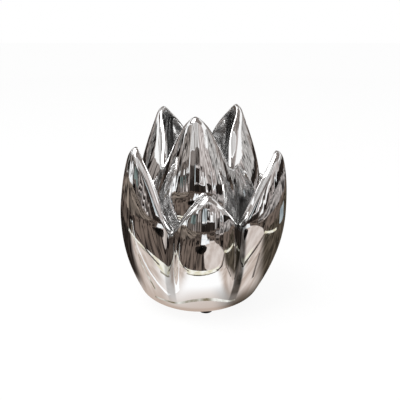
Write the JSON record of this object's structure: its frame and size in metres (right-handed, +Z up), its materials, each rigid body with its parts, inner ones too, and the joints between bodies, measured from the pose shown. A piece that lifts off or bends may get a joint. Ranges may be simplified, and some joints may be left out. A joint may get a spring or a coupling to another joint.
{
  "type": "tealight holder",
  "caption": "Mirror-silver ceramic lotus: a tall petal crown nested in a bowl of outer petals, with a round seat for a tealight that glows between the petals.",
  "frame": {"origin": "on the table, under the middle of the holder", "axes": "+Z up, -Y to the front low petal, +X to the right seen from the front"},
  "size_m": [0.1199, 0.1274, 0.1472],
  "materials": {
    "silver_plate": "mirror silver plating over glazed ceramic",
    "foot_rubber": "matt black",
    "foot_tape": "matt"
  },
  "bodies": {
    "root": {"base_dish": "silver_plate", "low_petal_front": "silver_plate", "low_petal_back_right": "silver_plate", "low_petal_back_left": "silver_plate", "mid_petal_right": "silver_plate", "mid_petal_back": "silver_plate", "mid_petal_left": "silver_plate", "candle_cup": "silver_plate", "crown_petal_front": "silver_plate", "crown_petal_right": "silver_plate", "crown_petal_left": "silver_plate", "foot_pad_front": "foot_rubber", "foot_pad_right": "foot_rubber", "foot_pad_left": "foot_rubber", "foot_tape_front": "foot_tape", "foot_tape_right": "foot_tape", "foot_tape_left": "foot_tape"}
  },
  "joints": []
}
